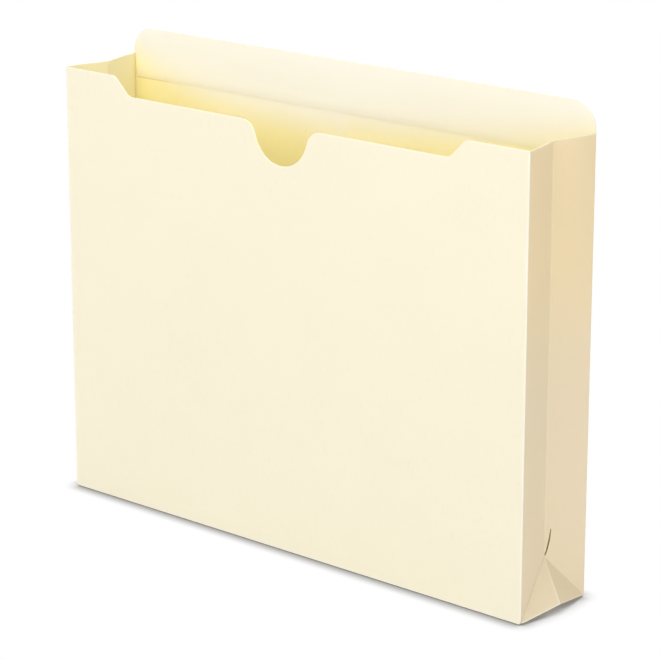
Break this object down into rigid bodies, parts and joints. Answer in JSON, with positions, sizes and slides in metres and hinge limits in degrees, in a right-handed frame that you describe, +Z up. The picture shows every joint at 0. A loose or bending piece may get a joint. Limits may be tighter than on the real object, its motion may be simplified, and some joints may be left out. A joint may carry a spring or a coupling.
{
  "type": "expanding file jacket",
  "caption": "Letter-size manila card jacket with bellows sides and bottom, a thumb-notched front and a taller tabbed back; folds flat.",
  "frame": {"origin": "on the floor, under the middle of the pocket", "axes": "+X across the jacket to the right as seen from the front, +Y from the front panel to the back panel, +Z up"},
  "size_m": [0.3054, 0.0502, 0.2413],
  "materials": {
    "manila_card": "matte"
  },
  "bodies": {
    "back": {"back_panel": "manila_card", "tab_ply": "manila_card"},
    "front": {"front_panel": "manila_card", "front_flap_right": "manila_card", "front_flap_left": "manila_card"},
    "gusset_back_right": {"gusset_back_leaf_right": "manila_card"},
    "web_back_right": {"corner_web_back_right": "manila_card", "end_tab_back_right": "manila_card"},
    "gusset_front_right": {"gusset_front_leaf_right": "manila_card"},
    "web_front_right": {"corner_web_front_right": "manila_card", "end_tab_front_right": "manila_card"},
    "gusset_back_left": {"gusset_back_leaf_left": "manila_card"},
    "web_back_left": {"corner_web_back_left": "manila_card", "end_tab_back_left": "manila_card"},
    "gusset_front_left": {"gusset_front_leaf_left": "manila_card"},
    "web_front_left": {"corner_web_front_left": "manila_card", "end_tab_front_left": "manila_card"},
    "bottom_back": {"bottom_back_leaf": "manila_card"},
    "bottom_front": {"bottom_front_leaf": "manila_card"}
  },
  "joints": [
    {"name": "right_back_fold", "type": "hinge", "parent": "back", "child": "gusset_back_right", "pos_m": [0.14894, 0.02481, 0.1135], "axis": [0, 0, -1], "range_deg": [-13, 65]},
    {"name": "right_crease", "type": "hinge", "parent": "gusset_back_right", "child": "gusset_front_right", "pos_m": [0.1435, 0, 0.1135], "axis": [0, 0, 1], "range_deg": [-26, 130]},
    {"name": "right_front_fold", "type": "hinge", "parent": "gusset_front_right", "child": "front", "pos_m": [0.14894, -0.02481, 0.1135], "axis": [0, 0, -1], "range_deg": [-13, 65]},
    {"name": "left_back_fold", "type": "hinge", "parent": "back", "child": "gusset_back_left", "pos_m": [-0.14894, 0.02481, 0.1135], "axis": [0, 0, 1], "range_deg": [-13, 65]},
    {"name": "left_front_fold", "type": "hinge", "parent": "front", "child": "gusset_front_left", "pos_m": [-0.14894, -0.02481, 0.1135], "axis": [0, 0, -1], "range_deg": [-13, 65]},
    {"name": "bottom_back_fold", "type": "hinge", "parent": "back", "child": "bottom_back", "pos_m": [0, 0.02481, 0.00028], "axis": [-1, 0, 0], "range_deg": [-13, 65]},
    {"name": "bottom_front_fold", "type": "hinge", "parent": "front", "child": "bottom_front", "pos_m": [0, -0.02481, 0.00028], "axis": [1, 0, 0], "range_deg": [-13, 65]},
    {"name": "right_front_web_fold", "type": "hinge", "parent": "gusset_front_right", "child": "web_front_right", "pos_m": [0.14922, -0.02475, 0.00028], "axis": [0.1591, -0.689, -0.7071], "range_deg": [-27.3, 136.5], "deforming": ["corner_web_front_right", "end_tab_front_right"]},
    {"name": "right_back_web_fold", "type": "hinge", "parent": "gusset_back_right", "child": "web_back_right", "pos_m": [0.14922, 0.02475, 0.00028], "axis": [-0.1591, -0.689, 0.7071], "range_deg": [-27.3, 136.5], "deforming": ["corner_web_back_right", "end_tab_back_right"]},
    {"name": "left_front_web_fold", "type": "hinge", "parent": "gusset_front_left", "child": "web_front_left", "pos_m": [-0.14922, -0.02475, 0.00028], "axis": [0.1591, 0.689, 0.7071], "range_deg": [-27.3, 136.5], "deforming": ["corner_web_front_left", "end_tab_front_left"]},
    {"name": "left_back_web_fold", "type": "hinge", "parent": "gusset_back_left", "child": "web_back_left", "pos_m": [-0.14922, 0.02475, 0.00028], "axis": [-0.1591, 0.689, -0.7071], "range_deg": [-27.3, 136.5], "deforming": ["corner_web_back_left", "end_tab_back_left"]}
  ],
  "couplings": [
    {"joint": "right_crease", "follows": "right_back_fold", "ratio": 2},
    {"joint": "right_front_fold", "follows": "right_back_fold", "ratio": 1},
    {"joint": "left_back_fold", "follows": "right_back_fold", "ratio": 1},
    {"joint": "left_front_fold", "follows": "right_back_fold", "ratio": 1},
    {"joint": "bottom_back_fold", "follows": "right_back_fold", "ratio": 1},
    {"joint": "bottom_front_fold", "follows": "right_back_fold", "ratio": 1},
    {"joint": "right_front_web_fold", "follows": "right_back_fold", "ratio": 2.1},
    {"joint": "right_back_web_fold", "follows": "right_back_fold", "ratio": 2.1},
    {"joint": "left_front_web_fold", "follows": "right_back_fold", "ratio": 2.1},
    {"joint": "left_back_web_fold", "follows": "right_back_fold", "ratio": 2.1}
  ]
}
